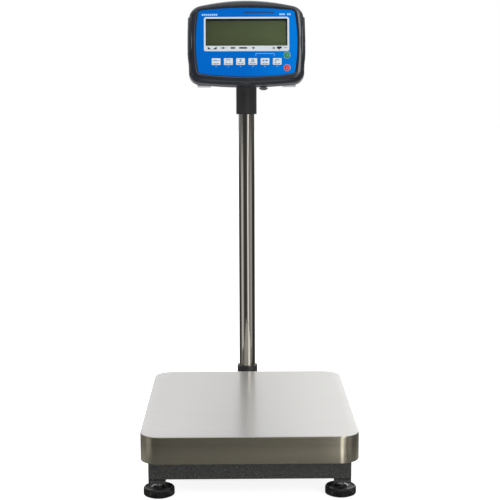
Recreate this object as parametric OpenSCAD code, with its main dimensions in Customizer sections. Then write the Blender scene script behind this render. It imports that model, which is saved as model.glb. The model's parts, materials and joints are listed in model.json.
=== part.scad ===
// Bench scale: a stainless platter on a levelling base, with a column that carries a tilting indicator.
// Units are millimetres. The origin is on the floor, in the middle of the scale's footprint. +Z is up.
// The weighing face looks up and the indicator faces -Y.

/* [Platter] */
// Width of the platter, left to right
platter_w = 400; // [360:1:440]
// Depth of the platter, front to back
platter_d = 500; // [460:1:540]
// Height of the platter's folded skirt
skirt_h = 51; // [46:1:54]
// Radius of the platter's corners, seen from above
platter_r = 38; // [30:1:45]
// Height of the weighing face above the floor
deck_z = 118; // [116:1:122]

/* [Base] */
// Width of the base frame
frame_w = 370; // [350:1:376]
// Depth of the base frame
frame_d = 470; // [450:1:476]
// Height of the side and end rails
rail_h = 42; // [39:1:43]
// Width of the side and end rails
rail_w = 30; // [28:1:34]

/* [Feet] */
// Radius of the knurled levelling knobs
knob_r = 28.5; // [26:0.5:30]
// Distance from a foot's axis to the frame's side
foot_inset = 18.5; // [17:0.5:20]

/* [Column] */
// Outer radius of the column tube
column_r = 17.5; // [16.5:0.5:18]
// Distance from the platter's back edge to the column's axis
column_setback = 40; // [38:1:44]
// Outer radius of the socket and the sleeve that hold the column
sleeve_r = 22; // [21.5:0.5:23]
// Height of the sleeve's lower edge above the floor
sleeve_z = 676; // [600:1:700]

/* [Indicator] */
// Half of the indicator's width
head_a = 121; // [118:1:126]
// Half of the indicator's height
head_b = 88; // [86:0.5:92]
// Height of the tilt pivot above the floor
pivot_z = 812.5; // [760:0.5:860]
// Tilt of the indicator at rest, face up from the vertical
head_tilt = 12; // [0:1:20]

/* [Hidden] */
$fn = 64;
eps = 0.01;

// Platter and base
sheet_t = 1.5;
rail_wall = 2.5;
frame_z = 34;
rail_top = frame_z + rail_h;
rear_reach = column_setback + 30;
platform_y = -rear_reach / 2;
column_y = platform_y + platter_d / 2 + column_setback;

// Feet: knob, stud and pad turn or rise on each foot's axis
foot_x = frame_w / 2 - foot_inset;
foot_y = frame_d / 2 - rail_w / 2;
stud_r = 5;
stud_gap = 0.08;
block_w = 31;
block_d = 30;
block_h = 8;
locknut_r = 9.2;
locknut_h = 4;
pad_h = 2;
pad_r = 22;
knob_top = 17;
hub_top = 18.5;
stud_foot = 9;
stud_top = 60;
FEET = [[-1, -1], [1, -1], [-1, 1], [1, 1]];

// Load cell stack, from the centre rail up to the subframe
center_rail_h = 32;
center_rail_w = 40;
cell_l = 130;
cell_w = 30;
cell_h = 22;
spacer_h = 3;
spacer_l = 36;
cell_z = frame_z + center_rail_h + spacer_h;
subframe_z = cell_z + cell_h + spacer_h;
subframe_h = 18;
live_y = 45;
bolt_pitch = 19;
bolt_r = 4;
bolt_head_r = 7.5;
bolt_head_h = 4.5;
cell_bore_r = 8;
cell_bore_y = 14;
cell_slot = 3;
arm_w = 30;
arm_x = 165;
arm_l = 430;
stop_y = 180;
pad_y = 195;
rest_pad_r = 13;
level_x = 70;
level_r = 11;
vial_r = 8;

// Column bracket and column
socket_z = 34;
socket_floor = 4;
socket_top = deck_z + 6;
bore_gap = 0.15;
column_wall = 1.5;
column_top = pivot_z + 19.5;
lead_r = 2.5;
lead_z = 51;
lead_hole_r = 5;
lead_exit_z = sleeve_z - 26;
flange_w = 120;
flange_h = 38;
flange_t = 5;
flange_bolt_x = 45;
FLANGE_BOLT_Z = [47, 65];
arm_tube_w = 50;
arm_tube_h = 26;
CLAMP_Z = [72, 102];
clamp_boss_r = 8;
clamp_reach = 25;

// Sleeve and tilt bracket. The pivot is in front of the column's axis.
pivot_reach = 38;
pivot_y = column_y - pivot_reach;
sleeve_top = pivot_z + 26;
plate_t = 3;
bracket_gap = 11;
block_a = 20;
plate_screw_x = 13;
plate_screw_z = 15;
SLEEVE_SCREW_Z = [sleeve_z + 16, sleeve_z + 46];
ear_x = 22;
ear_r = 8;
pivot_r = 4;
pivot_gap = 0.05;

// Indicator, in its own frame: origin on the pivot, x to the right, z up, and w measured forward
head_front = 72;
head_part = 40;
head_back = 13;
head_edge = 34;
head_brow = 58;
shell_t = 3;
back_inset = 10;
front_inset = 6;
pocket_w = 71;
wall_w = 68;
top_bow = 17;
bottom_bow = 8;
side_bow = 6;
corner_r = 19;
overlay_a = 104;
overlay_b = 71;
overlay_z = -2;
overlay_face = 72;
window_w = 167;
window_h = 55.6;
window_z = 18.5;
board_w = 58;
board_t = 1.6;
main_board_w = 22;
board_screw_x = 68;
BOARD_SCREW_Z = [4, 56];
mount_screw_x = 25;
mount_screw_z = 18;
key_w = 18.2;
key_h = 13.9;
key_gap = 0.35;
key_pitch = 25;
key_z = -42.2;
key_face = 72.6;
key_back = 69.6;
plunger_end = 64.8;
round_key_r = 6.9;
round_key_x = 82.6;
ROUND_KEY_Z = [-29.2, -55.2];
boss_x = 101;
boss_z = 58;
boss_r = 5.5;
post_x = 90;
post_z = 55;
case_foot_x = 88;
case_foot_a = 14;
gland_x = 35;
gland_w = 27;

// ---- Shared shapes ----

// A block given by its lowest and highest corners
module block(low, high) {
    translate(low) cube(high - low);
}

// A cylinder along Z from z0 to z1
module post(r, z0, z1) {
    translate([0, 0, z0]) cylinder(r = r, h = z1 - z0);
}

// A hexagonal prism along Z, r to its corners
module hex(r, z0, z1) {
    translate([0, 0, z0]) cylinder(r = r, h = z1 - z0, $fn = 6);
}

// Turns a shape built along +Z to point along +Y, backward
module backward() {
    rotate([-90, 0, 0]) children();
}

// A rectangular tube along Z, closed nowhere
module box_tube(w, d, l, wall) {
    difference() {
        translate([-w / 2, -d / 2, 0]) cube([w, d, l]);
        translate([-w / 2 + wall, -d / 2 + wall, -eps]) cube([w - 2 * wall, d - 2 * wall, l + 2 * eps]);
    }
}

// An upright plate or prism with rounded corners
module rounded_slab(w, d, r, z0, z1) {
    block([-w / 2 + r, -d / 2, z0], [w / 2 - r, d / 2, z1]);
    block([-w / 2, -d / 2 + r, z0], [w / 2, d / 2 - r, z1]);
    for (sx = [-1, 1], sy = [-1, 1])
        translate([sx * (w / 2 - r), sy * (d / 2 - r), 0]) post(r, z0, z1);
}

// Places children at each foot, or at one of them
module at_foot(i) {
    translate([FEET[i][0] * foot_x, platform_y + FEET[i][1] * foot_y, 0]) children();
}

module at_platform() {
    translate([0, platform_y, 0]) children();
}

module at_column() {
    translate([0, column_y, 0]) children();
}

// ---- Base frame ----

module side_rail(side) {
    length = frame_d - 2 * rail_w;
    difference() {
        translate([side * (frame_w - rail_w) / 2, -length / 2, frame_z + rail_h / 2])
            backward() box_tube(rail_w, rail_h, length, rail_wall);
        for (sy = [-1, 1])
            translate([side * arm_x, sy * stop_y, 0]) post(bolt_r + stud_gap, rail_top - 5, rail_top + 5);
    }
}

module side_rails() {
    color("dimgray") at_platform() for (side = [-1, 1]) side_rail(side);
}

module end_rail(side) {
    difference() {
        translate([-frame_w / 2, side * (frame_d - rail_w) / 2, frame_z + rail_h / 2])
            rotate([0, 90, 0]) box_tube(rail_h, rail_w, frame_w, rail_wall);
        for (sx = [-1, 1])
            translate([sx * foot_x, side * foot_y, 0]) post(stud_r + stud_gap, frame_z - 5, frame_z + 5);
        if (side > 0)
            translate([0, frame_d / 2 - rail_w - 1, lead_z]) backward() post(lead_hole_r, 0, rail_w + 2);
        if (side > 0)
            for (sx = [-1, 1], z = FLANGE_BOLT_Z)
                translate([sx * flange_bolt_x, frame_d / 2 - 4, z]) backward() post(bolt_r + stud_gap, 0, 5);
    }
}

module end_rails() {
    color("dimgray") at_platform() for (side = [-1, 1]) end_rail(side);
}

module center_rail() {
    length = frame_w - 2 * rail_w;
    color("dimgray") at_platform() difference() {
        translate([-length / 2, -live_y, frame_z + center_rail_h / 2])
            rotate([0, 90, 0]) box_tube(center_rail_h, center_rail_w, length, rail_wall);
        for (s = [-1, 1])
            translate([0, -live_y + s * bolt_pitch / 2, 0])
                post(bolt_r + stud_gap, frame_z - 1, frame_z + center_rail_h + 1);
    }
}

// ---- Levelling feet ----

module foot_blocks() {
    color("dimgray") for (i = [0:3]) at_foot(i) difference() {
        translate([FEET[i].x * (foot_inset - block_w / 2), 0, frame_z - block_h])
            block([-block_w / 2, -block_d / 2, 0], [block_w / 2, block_d / 2, block_h]);
        post(stud_r + stud_gap, frame_z - block_h - 1, frame_z + 1);
    }
}

module foot_locknuts() {
    top = frame_z - block_h;
    color("silver") for (i = [0:3]) at_foot(i) difference() {
        hex(locknut_r, top - locknut_h, top);
        post(stud_r + stud_gap, top - locknut_h - 1, top + 1);
    }
}

module foot_pad(i) {
    color("black") at_foot(i) post(pad_r, 0, pad_h);
}

module foot_knob(i) {
    color("black") at_foot(i) rotate_extrude() polygon([
        [0, pad_h], [knob_r - 1.5, pad_h], [knob_r, pad_h + 1.5], [knob_r, knob_top - 2],
        [knob_r - 2, knob_top], [12, knob_top], [10.5, hub_top], [stud_r, hub_top],
        [stud_r, stud_foot], [0, stud_foot]
    ]);
}

module foot_stud(i) {
    color("silver") at_foot(i) post(stud_r, stud_foot, stud_top);
}

// ---- Load cell and subframe ----

module load_cell() {
    color("gainsboro") at_platform() difference() {
        block([-cell_w / 2, -cell_l / 2, cell_z], [cell_w / 2, cell_l / 2, cell_z + cell_h]);
        translate([-cell_w / 2 - 1, 0, cell_z + cell_h / 2]) rotate([0, 90, 0]) {
            for (s = [-1, 1]) translate([0, s * cell_bore_y, 0]) cylinder(r = cell_bore_r, h = cell_w + 2);
            translate([-cell_slot / 2, -cell_bore_y, 0]) cube([cell_slot, 2 * cell_bore_y, cell_w + 2]);
        }
        for (end = [-1, 1], s = [-1, 1])
            translate([0, end * live_y + s * bolt_pitch / 2, 0])
                post(bolt_r + stud_gap, cell_z - 1, cell_z + cell_h + 1);
    }
}

module cell_spacer(end, z0) {
    difference() {
        translate([0, end * live_y, z0])
            block([-cell_w / 2, -spacer_l / 2, 0], [cell_w / 2, spacer_l / 2, spacer_h]);
        for (s = [-1, 1])
            translate([0, end * live_y + s * bolt_pitch / 2, z0]) post(bolt_r + stud_gap, -1, spacer_h + 1);
    }
}

module cell_spacers() {
    color("silver") at_platform() {
        cell_spacer(-1, cell_z - spacer_h);
        cell_spacer(1, cell_z + cell_h);
    }
}

module cell_bolts() {
    color("silver") at_platform() for (s = [-1, 1]) {
        translate([0, -live_y + s * bolt_pitch / 2, 0]) {
            post(bolt_r, frame_z, cell_z + cell_h - 4);
            hex(bolt_head_r, frame_z - bolt_head_h, frame_z);
        }
        translate([0, live_y + s * bolt_pitch / 2, 0]) {
            post(bolt_r, cell_z + 4, subframe_z + 2);
            hex(bolt_head_r, subframe_z + 2, subframe_z + 2 + bolt_head_h);
        }
    }
}

// The crossbar is a tube with two wells for the bolt heads
module subframe_crossbar() {
    length = 2 * arm_x - arm_w;
    color("dimgray") at_platform() difference() {
        translate([-length / 2, live_y, subframe_z + subframe_h / 2])
            rotate([0, 90, 0]) box_tube(subframe_h, center_rail_w, length, 2);
        for (s = [-1, 1]) translate([0, live_y + s * bolt_pitch / 2, 0]) {
            post(bolt_r + stud_gap, subframe_z - 1, subframe_z + 5);
            post(bolt_head_r + 1.1, subframe_z + 5, subframe_z + subframe_h + 1);
        }
    }
}

module subframe_arms() {
    color("dimgray") at_platform() for (side = [-1, 1])
        translate([side * arm_x, -arm_l / 2, subframe_z + subframe_h / 2])
            backward() box_tube(arm_w, subframe_h, arm_l, 2);
}

module platter_pads() {
    top = subframe_z + subframe_h;
    color("black") at_platform() for (sx = [-1, 1], sy = [-1, 1])
        translate([sx * arm_x, sy * pad_y, 0]) post(rest_pad_r, top, deck_z - sheet_t);
}

// Overload stops: a screw in each side rail's top wall and the nut that locks it
module overload_stops() {
    color("silver") at_platform() for (sx = [-1, 1], sy = [-1, 1])
        translate([sx * arm_x, sy * stop_y, 0]) {
            post(bolt_r, rail_top - 14, subframe_z - 1.2);
            difference() {
                hex(bolt_head_r, rail_top, rail_top + 6.5);
                post(bolt_r + stud_gap, rail_top - 1, rail_top + 7);
            }
        }
}

module bubble_level() {
    z0 = frame_z + center_rail_h;
    color("gold") at_platform() translate([level_x, -live_y, 0]) {
        difference() {
            post(level_r, z0, z0 + 9);
            post(vial_r, z0 + 3, z0 + 10);
        }
        post(vial_r, z0 + 3, z0 + 9.5);
    }
}

module platter() {
    color("lightgray") at_platform() difference() {
        rounded_slab(platter_w, platter_d, platter_r, deck_z - skirt_h, deck_z);
        rounded_slab(platter_w - 2 * sheet_t, platter_d - 2 * sheet_t, platter_r - sheet_t,
            deck_z - skirt_h - 1, deck_z - sheet_t);
    }
}

// ---- Column and its bracket ----

module column_bracket() {
    flange_y = platform_y + frame_d / 2;
    color("dimgray") difference() {
        union() {
            translate([0, flange_y, frame_z + 1])
                block([-flange_w / 2, 0, 0], [flange_w / 2, flange_t, flange_h]);
            translate([0, flange_y + flange_t, lead_z])
                backward() box_tube(arm_tube_w, arm_tube_h, column_y - flange_y - flange_t, rail_wall);
        }
        at_column() post(sleeve_r, 0, socket_top);
        translate([0, flange_y - 1, lead_z]) backward() post(lead_hole_r, 0, flange_t + 2);
        for (sx = [-1, 1], z = FLANGE_BOLT_Z)
            translate([sx * flange_bolt_x, flange_y - 1, z])
                backward() post(bolt_r + stud_gap, 0, flange_t + 2);
    }
}

module column_socket() {
    color("black") at_column() difference() {
        union() {
            post(sleeve_r, socket_z, socket_top);
            for (z = CLAMP_Z)
                translate([0, column_r, z]) backward() post(clamp_boss_r, 0, clamp_reach - column_r);
        }
        post(column_r + bore_gap, socket_z + socket_floor, socket_top + 1);
        for (z = CLAMP_Z) translate([0, 0, z]) backward() post(bolt_r + stud_gap, 0, clamp_reach + 1);
        translate([0, -sleeve_r - 1, lead_z]) backward() post(lead_hole_r, 0, sleeve_r);
    }
}

module bracket_bolts() {
    face = platform_y + frame_d / 2 + flange_t;
    color("silver") for (sx = [-1, 1], z = FLANGE_BOLT_Z)
        translate([sx * flange_bolt_x, face, z]) backward() {
            post(bolt_r, -12, 0);
            hex(bolt_head_r, 0, bolt_head_h);
        }
}

module socket_screws() {
    color("silver") at_column() for (z = CLAMP_Z) translate([0, 0, z]) backward() {
        post(bolt_r, column_r + 0.05, clamp_reach);
        hex(bolt_head_r, clamp_reach, clamp_reach + bolt_head_h);
    }
}

module column() {
    color("silver") at_column() difference() {
        post(column_r, socket_z + socket_floor, column_top);
        post(column_r - column_wall, socket_z, column_top + 1);
        translate([0, -column_r - 1, lead_z]) backward() post(lead_hole_r + 1, 0, column_r);
        translate([0, 0, lead_exit_z]) backward() post(lead_hole_r, 0, column_r + 1);
    }
}

// ---- Load cell lead: a tube swept along a smooth curve through its route ----

// Out of the cell's side, back through the rear rail and the bracket, then up inside the column
rail_in = frame_d / 2 - rail_w;
riser_y = column_y - platform_y;
cell_exit_z = cell_z + cell_h / 2;
LEAD_ROUTE = [
    [-cell_w / 2, -50, cell_exit_z], [-cell_w / 2 - 5, -50, cell_exit_z], [-28, -50, cell_exit_z],
    [-42, -42, 79], [-50, -24, 77], [-52, 10, 73], [-50, 50, 66], [-42, 100, 58], [-26, 145, 53],
    [-9, 175, lead_z], [-0.5, rail_in - 15, lead_z], [0, rail_in - 7, lead_z], [0, rail_in + 5, lead_z],
    [0, rail_in + 20, lead_z], [0, riser_y - 35, lead_z], [0, riser_y - 18, lead_z],
    [0, riser_y - 9, lead_z + 3], [0, riser_y - 3, lead_z + 11], [0, riser_y, lead_z + 25],
    [0, riser_y, 100], [0, riser_y, 300], [0, riser_y, 500],
    [0, riser_y, lead_exit_z - 35], [0, riser_y + 1, lead_exit_z - 20], [0, riser_y + 4, lead_exit_z - 8],
    [0, riser_y + 9, lead_exit_z - 1], [0, riser_y + 14, lead_exit_z], [0, riser_y + 18, lead_exit_z]
];

function curve_point(p, i, t) =
    let (a = p[max(i - 1, 0)], b = p[i], c = p[i + 1], d = p[min(i + 2, len(p) - 1)])
    0.5 * (2 * b + (c - a) * t + (2 * a - 5 * b + 4 * c - d) * t * t + (3 * b - a - 3 * c + d) * t * t * t);

function smooth_route(p, steps) = [
    for (i = [0:len(p) - 2], k = [0:steps - 1]) curve_point(p, i, k / steps),
    p[len(p) - 1]
];

function unit(v) = v / norm(v);

function heading(p, i) = unit(p[min(i + 1, len(p) - 1)] - p[max(i - 1, 0)]);

// A ring's frame is carried along the route, so the tube doesn't twist
function ring_sides(p, i, side) =
    i >= len(p) ? [] :
    let (h = heading(p, i), s = unit(side - (side * h) * h))
    concat([s], ring_sides(p, i + 1, s));

function ring(centre, along, side, r, n) = [
    for (k = [0:n - 1]) centre + r * (cos(360 * k / n) * side + sin(360 * k / n) * cross(along, side))
];

module tube_along(p, r, n) {
    sides = ring_sides(p, 0, [0, 0, 1]);
    rings = [for (i = [0:len(p) - 1]) each ring(p[i], heading(p, i), sides[i], r, n)];
    last = n * (len(p) - 1);
    polyhedron(
        points = rings,
        faces = concat(
            [[for (k = [0:n - 1]) n - 1 - k], [for (k = [0:n - 1]) last + k]],
            [for (i = [0:len(p) - 2], k = [0:n - 1])
                [n * i + k, n * i + (k + 1) % n, n * (i + 1) + (k + 1) % n, n * (i + 1) + k]]
        )
    );
}

module load_cell_cable() {
    color("black") at_platform() tube_along(smooth_route(LEAD_ROUTE, 3), lead_r, 8);
}

module grommet(r, flange_r, l) {
    difference() {
        union() {
            post(r, 0, l);
            post(flange_r, -1.5, 0);
        }
        post(lead_r + 0.2, -3, l + 1);
    }
}

// One grommet lines the rear rail's hole, the other the hole high in the column's back
module cable_grommets() {
    color("black") {
        translate([0, platform_y + frame_d / 2 - rail_w, lead_z]) backward() grommet(4.9, 8, rail_wall);
        at_column() translate([0, column_r + 3, lead_exit_z]) rotate([90, 0, 0]) {
            difference() {
                union() {
                    post(4.9, 0, 4.6);
                    post(8, 0, 2.4);
                }
                post(lead_r + 0.2, 1.6, 5);
            }
        }
    }
}

// ---- Sleeve and tilt bracket ----

// Places children at the four screws that hold the tilt bracket, pointing backward from its face
module at_plate_screws() {
    for (sx = [-1, 1], sz = [-1, 1])
        translate([sx * plate_screw_x, pivot_y + bracket_gap, pivot_z + sz * plate_screw_z])
            backward() children();
}

module sleeve() {
    color("black") difference() {
        union() {
            at_column() post(sleeve_r, sleeve_z, sleeve_top);
            translate([0, pivot_y + bracket_gap + plate_t, pivot_z])
                block([-block_a, 0, -ear_x], [block_a, pivot_reach - bracket_gap - plate_t, ear_x]);
        }
        at_column() post(column_r + bore_gap, sleeve_z - 1, column_top + 1);
        for (z = SLEEVE_SCREW_Z) translate([0, column_y, z]) backward() post(3.1, 0, sleeve_r + 1);
        at_plate_screws() post(2.1, plate_t - 1, plate_t + 8);
    }
}

module sleeve_screws() {
    color("silver") {
        for (z = SLEEVE_SCREW_Z)
            translate([0, column_y, z]) backward() post(3, column_r + 0.05, sleeve_r - 0.2);
        at_plate_screws() {
            post(2, 0, 10);
            post(3.5, -2, 0);
        }
    }
}

// An ear in the YZ plane: round about the pivot, straight back to y = reach
module ear(reach, thickness) {
    rotate([0, 90, 0]) difference() {
        union() {
            cylinder(r = ear_r, h = thickness);
            translate([-ear_r, min(0, reach), 0]) cube([2 * ear_r, abs(reach), thickness]);
        }
        translate([0, 0, -1]) cylinder(r = pivot_r + pivot_gap, h = thickness + 2);
    }
}

module tilt_bracket() {
    half = ear_x + plate_t;
    color("lightgray") {
        difference() {
            translate([0, pivot_y + bracket_gap, pivot_z]) block([-half, 0, -ear_x], [half, plate_t, ear_x]);
            at_plate_screws() post(2.1, -1, plate_t + 1);
        }
        for (x = [-half, ear_x]) translate([x, pivot_y, pivot_z]) ear(bracket_gap, plate_t);
    }
}

module pivot_bolt() {
    end = ear_x + plate_t;
    color("silver") translate([0, pivot_y, pivot_z]) rotate([0, 90, 0]) {
        post(pivot_r, -end, end + 8);
        hex(bolt_head_r, -end - bolt_head_h, -end);
    }
}

// The nut and the two friction washers between the bracket's ears and the mount plate's
module pivot_nut() {
    end = ear_x + plate_t;
    color("silver") translate([0, pivot_y, pivot_z]) rotate([0, 90, 0]) {
        difference() {
            hex(bolt_head_r, end, end + 6.5);
            post(pivot_r + pivot_gap, end - 1, end + 8);
        }
        for (s = [-1, 1]) translate([0, 0, s * (ear_x - 0.5)]) difference() {
            post(bolt_head_r, -0.45, 0.45);
            post(pivot_r + pivot_gap, -1, 1);
        }
    }
}

// ---- Indicator ----

// The indicator's own frame, tilted about the pivot. Shapes are drawn lying down:
// x to the right, y up the face and z forward, which is the distance w.
module in_head() {
    translate([0, pivot_y, pivot_z]) rotate([90 - head_tilt, 0, 0]) children();
}

function sign_of(v) = v < 0 ? -1 : 1;

// Bows the sides of a rectangle outward: top, bottom and both sides have their own bow
function bowed(p, a, b, top, bottom, side) = [
    p.x - sign_of(p.x) * side * pow(p.y / b, 2) * abs(p.x) / a,
    p.y - sign_of(p.y) * (p.y > 0 ? top : bottom) * pow(p.x / a, 2) * abs(p.y) / b
];

// A rectangle with round corners, its straight sides cut into short lengths so that they can bow
function rounded_outline(a, b, r, n = 6, m = 10) = [
    for (q = [[1, 1, 0], [-1, 1, 90], [-1, -1, 180], [1, -1, 270]]) each concat(
        [for (k = [0:n]) let (angle = q[2] + 90 * k / n)
            [q[0] * (a - r) + r * cos(angle), q[1] * (b - r) + r * sin(angle)]],
        [for (k = [1:m - 1]) let (t = 1 - 2 * k / m)
            q[2] % 180 == 0 ? [q[0] * (a - r) * t, q[1] * b] : [q[0] * a, q[1] * (b - r) * t]]
    )
];

function head_outline(inset) = [
    for (p = rounded_outline(head_a - inset, head_b - inset, corner_r - inset / 2))
        bowed(p, head_a - inset, head_b - inset, top_bow, bottom_bow, side_bow)
];

function overlay_outline(grow) = [
    for (p = rounded_outline(overlay_a + grow, overlay_b + grow, 6))
        bowed(p, overlay_a + grow, overlay_b + grow, 6, 7, 6) + [0, overlay_z]
];

module slab(points, w0, w1) {
    translate([0, 0, w0]) linear_extrude(w1 - w0) polygon(points);
}

module head_holes(grow) {
    translate([0, window_z, wall_w - 1])
        linear_extrude(6) square([window_w + 0.4 + grow, window_h + 0.4 + grow], center = true);
    for (i = [0:5])
        translate([(i - 2.5) * key_pitch, key_z, wall_w - 1])
            linear_extrude(6) square([key_w + 2 * key_gap, key_h + 2 * key_gap], center = true);
    for (z = ROUND_KEY_Z) translate([round_key_x, z, 0]) post(round_key_r + key_gap, wall_w - 1, wall_w + 5);
}

module at_bosses() {
    for (sx = [-1, 1], sz = [-1, 1]) translate([sx * boss_x, sz * boss_z, 0]) children();
}

module at_posts() {
    for (sx = [-1, 1], sz = [-1, 1]) translate([sx * post_x, sz * post_z, 0]) children();
}

module at_board_screws() {
    for (sx = [-1, 1], z = BOARD_SCREW_Z) translate([sx * board_screw_x, z, 0]) children();
}

module at_mount_screws() {
    for (sx = [-1, 1], sz = [-1, 1]) translate([sx * mount_screw_x, sz * mount_screw_z, 0]) children();
}

module front_cover() {
    color("black") in_head() difference() {
        union() {
            difference() {
                hull() {
                    slab(head_outline(0), head_part, head_brow);
                    slab(head_outline(front_inset), head_front, head_front + 0.2);
                }
                slab(overlay_outline(0.3), pocket_w, head_front + 1);
                hull() {
                    slab(head_outline(shell_t), head_part - 1, head_brow);
                    slab(head_outline(shell_t + front_inset), wall_w - 1, wall_w);
                }
            }
            at_bosses() post(boss_r, head_part, wall_w + 1);
            at_posts() post(3.5, board_w + board_t, wall_w + 1);
        }
        head_holes(0);
        at_bosses() post(1.9, head_part - 1, head_brow + 2);
        at_posts() post(1.6, board_w, wall_w - 1);
    }
}

module rear_cover() {
    color("black") in_head() difference() {
        union() {
            difference() {
                hull() {
                    slab(head_outline(0), head_edge, head_part);
                    slab(head_outline(back_inset), head_back, head_back + 1);
                }
                hull() {
                    slab(head_outline(shell_t), head_edge, head_part + 1);
                    slab(head_outline(back_inset + shell_t), head_back + shell_t, head_back + shell_t + 1);
                }
            }
            at_bosses() post(boss_r, head_back + 1, head_part);
            at_board_screws() post(3.5, head_back + 1, main_board_w);
        }
        difference() {
            slab(head_outline(0.9), head_part - 1, head_part + 1);
            slab(head_outline(2.3), head_part - 2, head_part + 2);
        }
        at_bosses() {
            post(2.2, head_back - 1, head_part + 1);
            post(4.2, head_back - 1, head_back + 5);
        }
        at_board_screws() post(1.6, head_back + 3, main_board_w + 1);
        at_mount_screws() post(2.1, head_back - 1, head_back + 4);
        translate([gland_x, 0, gland_w]) rotate([90, 0, 0]) post(6, head_b - 27, head_b + 8);
    }
}

module case_gasket() {
    color("gray") in_head() difference() {
        slab(head_outline(1), head_part - 0.95, head_part);
        slab(head_outline(2.2), head_part - 2, head_part + 1);
    }
}

module mount_plate() {
    color("lightgray") in_head() {
        difference() {
            block([-31, -24, head_back - plate_t], [31, 24, head_back]);
            at_mount_screws() post(2.1, head_back - plate_t - 1, head_back + 1);
        }
        for (x = [-ear_x + 1, ear_x - 1 - plate_t])
            translate([x, 0, 0]) rotate([-90, 0, 0]) ear(-(head_back - plate_t), plate_t);
    }
}

module overlay() {
    color("dodgerblue") in_head() difference() {
        slab(overlay_outline(0), pocket_w, overlay_face);
        head_holes(0);
    }
}

module display_window() {
    color("lightcyan") in_head() translate([0, window_z, wall_w + 0.2])
        linear_extrude(overlay_face - wall_w - 0.4) square([window_w, window_h], center = true);
}

module lcd_panel() {
    color("darkolivegreen") in_head() translate([0, window_z, board_w + board_t])
        linear_extrude(7.8) square([window_w + 5, window_h + 6], center = true);
}

module display_board() {
    color("green") in_head() difference() {
        block([-95, -61, board_w], [95, 61, board_w + board_t]);
        at_posts() post(1.8, board_w - 1, board_w + 3);
    }
}

module main_board() {
    color("green") in_head() difference() {
        block([-75, -2, main_board_w], [75, 62, main_board_w + board_t]);
        at_board_screws() post(1.8, main_board_w - 1, main_board_w + 3);
    }
}

// A tact switch: its case and its round actuator, one solid
module tact_switch() {
    block([-3, -3, board_w + board_t], [3, 3, board_w + board_t + 4]);
    post(1.7, board_w + board_t + 4 - eps, board_w + board_t + 4.6);
}

module board_components() {
    top = main_board_w + board_t;
    color("gray") in_head() {
        for (i = [0:5]) translate([(i - 2.5) * key_pitch, key_z, 0]) tact_switch();
        for (z = ROUND_KEY_Z) translate([round_key_x, z, 0]) tact_switch();
        block([-50, 15, top], [-30, 35, top + 2.4]);
        block([-15, 20, top], [-3, 32, top + 2]);
        block([10, 40, top], [50, 50, top + 11]);
        block([-60, 48, top], [-20, 56, top + 9]);
        block([40, 5, top], [58, 20, top + 12]);
        for (x = [8, 22]) translate([x, 12, 0]) post(5, top, top + 16);
    }
}

module battery() {
    color("slategray") in_head() block([-48.5, -62, head_back + shell_t + 0.1], [48.5, -11, head_part]);
}

module case_feet() {
    color("silver") in_head() for (s = [-1, 1]) translate([s * case_foot_x, 0, 0])
        difference() {
            block([-case_foot_a, 3 - head_b, 20], [case_foot_a, 13.5 - head_b, head_edge - 1]);
            translate([-s * case_foot_x, 0, 0]) hull() {
                slab(head_outline(0), head_edge, head_part);
                slab(head_outline(back_inset), head_back, head_back + 1);
            }
        }
}

module cable_gland() {
    color("black") in_head() translate([gland_x, 0, gland_w]) rotate([90, 0, 0]) difference() {
        union() {
            post(5.9, head_b - 13.5, head_b);
            hex(9.2, head_b - 0.5, head_b + 1.7);
            post(6.6, head_b + 1.5, head_b + 3.5);
        }
        post(lead_r + 0.1, head_b - 14.5, head_b + 4.5);
    }
}

module indicator_screws() {
    color("silver") in_head() {
        at_bosses() {
            post(1.75, head_back + 5, head_brow - 2);
            post(3.8, head_back + 2, head_back + 5);
        }
        at_posts() {
            post(1.5, board_w - 0.5, wall_w - 2);
            post(3, board_w - 2.5, board_w);
        }
        at_board_screws() {
            post(1.5, head_back + 4, main_board_w + board_t);
            post(3, main_board_w + board_t, main_board_w + board_t + 2);
        }
        at_mount_screws() {
            post(2, head_back - plate_t, head_back + 3);
            post(3.8, head_back - plate_t - 2.2, head_back - plate_t);
        }
    }
}

module plunger() {
    post(2.5, plunger_end, key_back);
}

module square_key(i) {
    color("lightgray") in_head() translate([(i - 2.5) * key_pitch, key_z, 0]) {
        translate([0, 0, key_back]) linear_extrude(key_face - key_back) square([key_w, key_h], center = true);
        plunger();
    }
}

module round_key(i, shade) {
    color(shade) in_head() translate([round_key_x, ROUND_KEY_Z[i], 0]) {
        post(round_key_r, key_back, key_face);
        plunger();
    }
}

// ---- Nodes ----

side_rails();
end_rails();
center_rail();
foot_blocks();
foot_locknuts();
foot_pad(0);  // foot_pad_fl
foot_pad(1);  // foot_pad_fr
foot_pad(2);  // foot_pad_bl
foot_pad(3);  // foot_pad_br
foot_knob(0);  // foot_knob_fl
foot_knob(1);  // foot_knob_fr
foot_knob(2);  // foot_knob_bl
foot_knob(3);  // foot_knob_br
foot_stud(0);  // foot_stud_fl
foot_stud(1);  // foot_stud_fr
foot_stud(2);  // foot_stud_bl
foot_stud(3);  // foot_stud_br
load_cell();
cell_spacers();
cell_bolts();
subframe_crossbar();
subframe_arms();
platter_pads();
overload_stops();
bubble_level();
load_cell_cable();
cable_grommets();
column_bracket();
column_socket();
bracket_bolts();
socket_screws();
column();
platter();
sleeve();
sleeve_screws();
tilt_bracket();
pivot_bolt();
pivot_nut();
mount_plate();
rear_cover();
case_gasket();
front_cover();
overlay();
display_window();
lcd_panel();
display_board();
main_board();
board_components();
battery();
case_feet();
cable_gland();
indicator_screws();
square_key(0);  // key_1
square_key(1);  // key_2
square_key(2);  // key_3
square_key(3);  // key_4
square_key(4);  // key_5
square_key(5);  // key_6
round_key(0, "green");  // key_on
round_key(1, "red");  // key_off
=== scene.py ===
"""Looks for the bench scale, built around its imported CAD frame. Metres, +Z up, the indicator faces -Y."""

import json
import math

import bmesh
import bpy
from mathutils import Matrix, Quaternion, Vector


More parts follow.
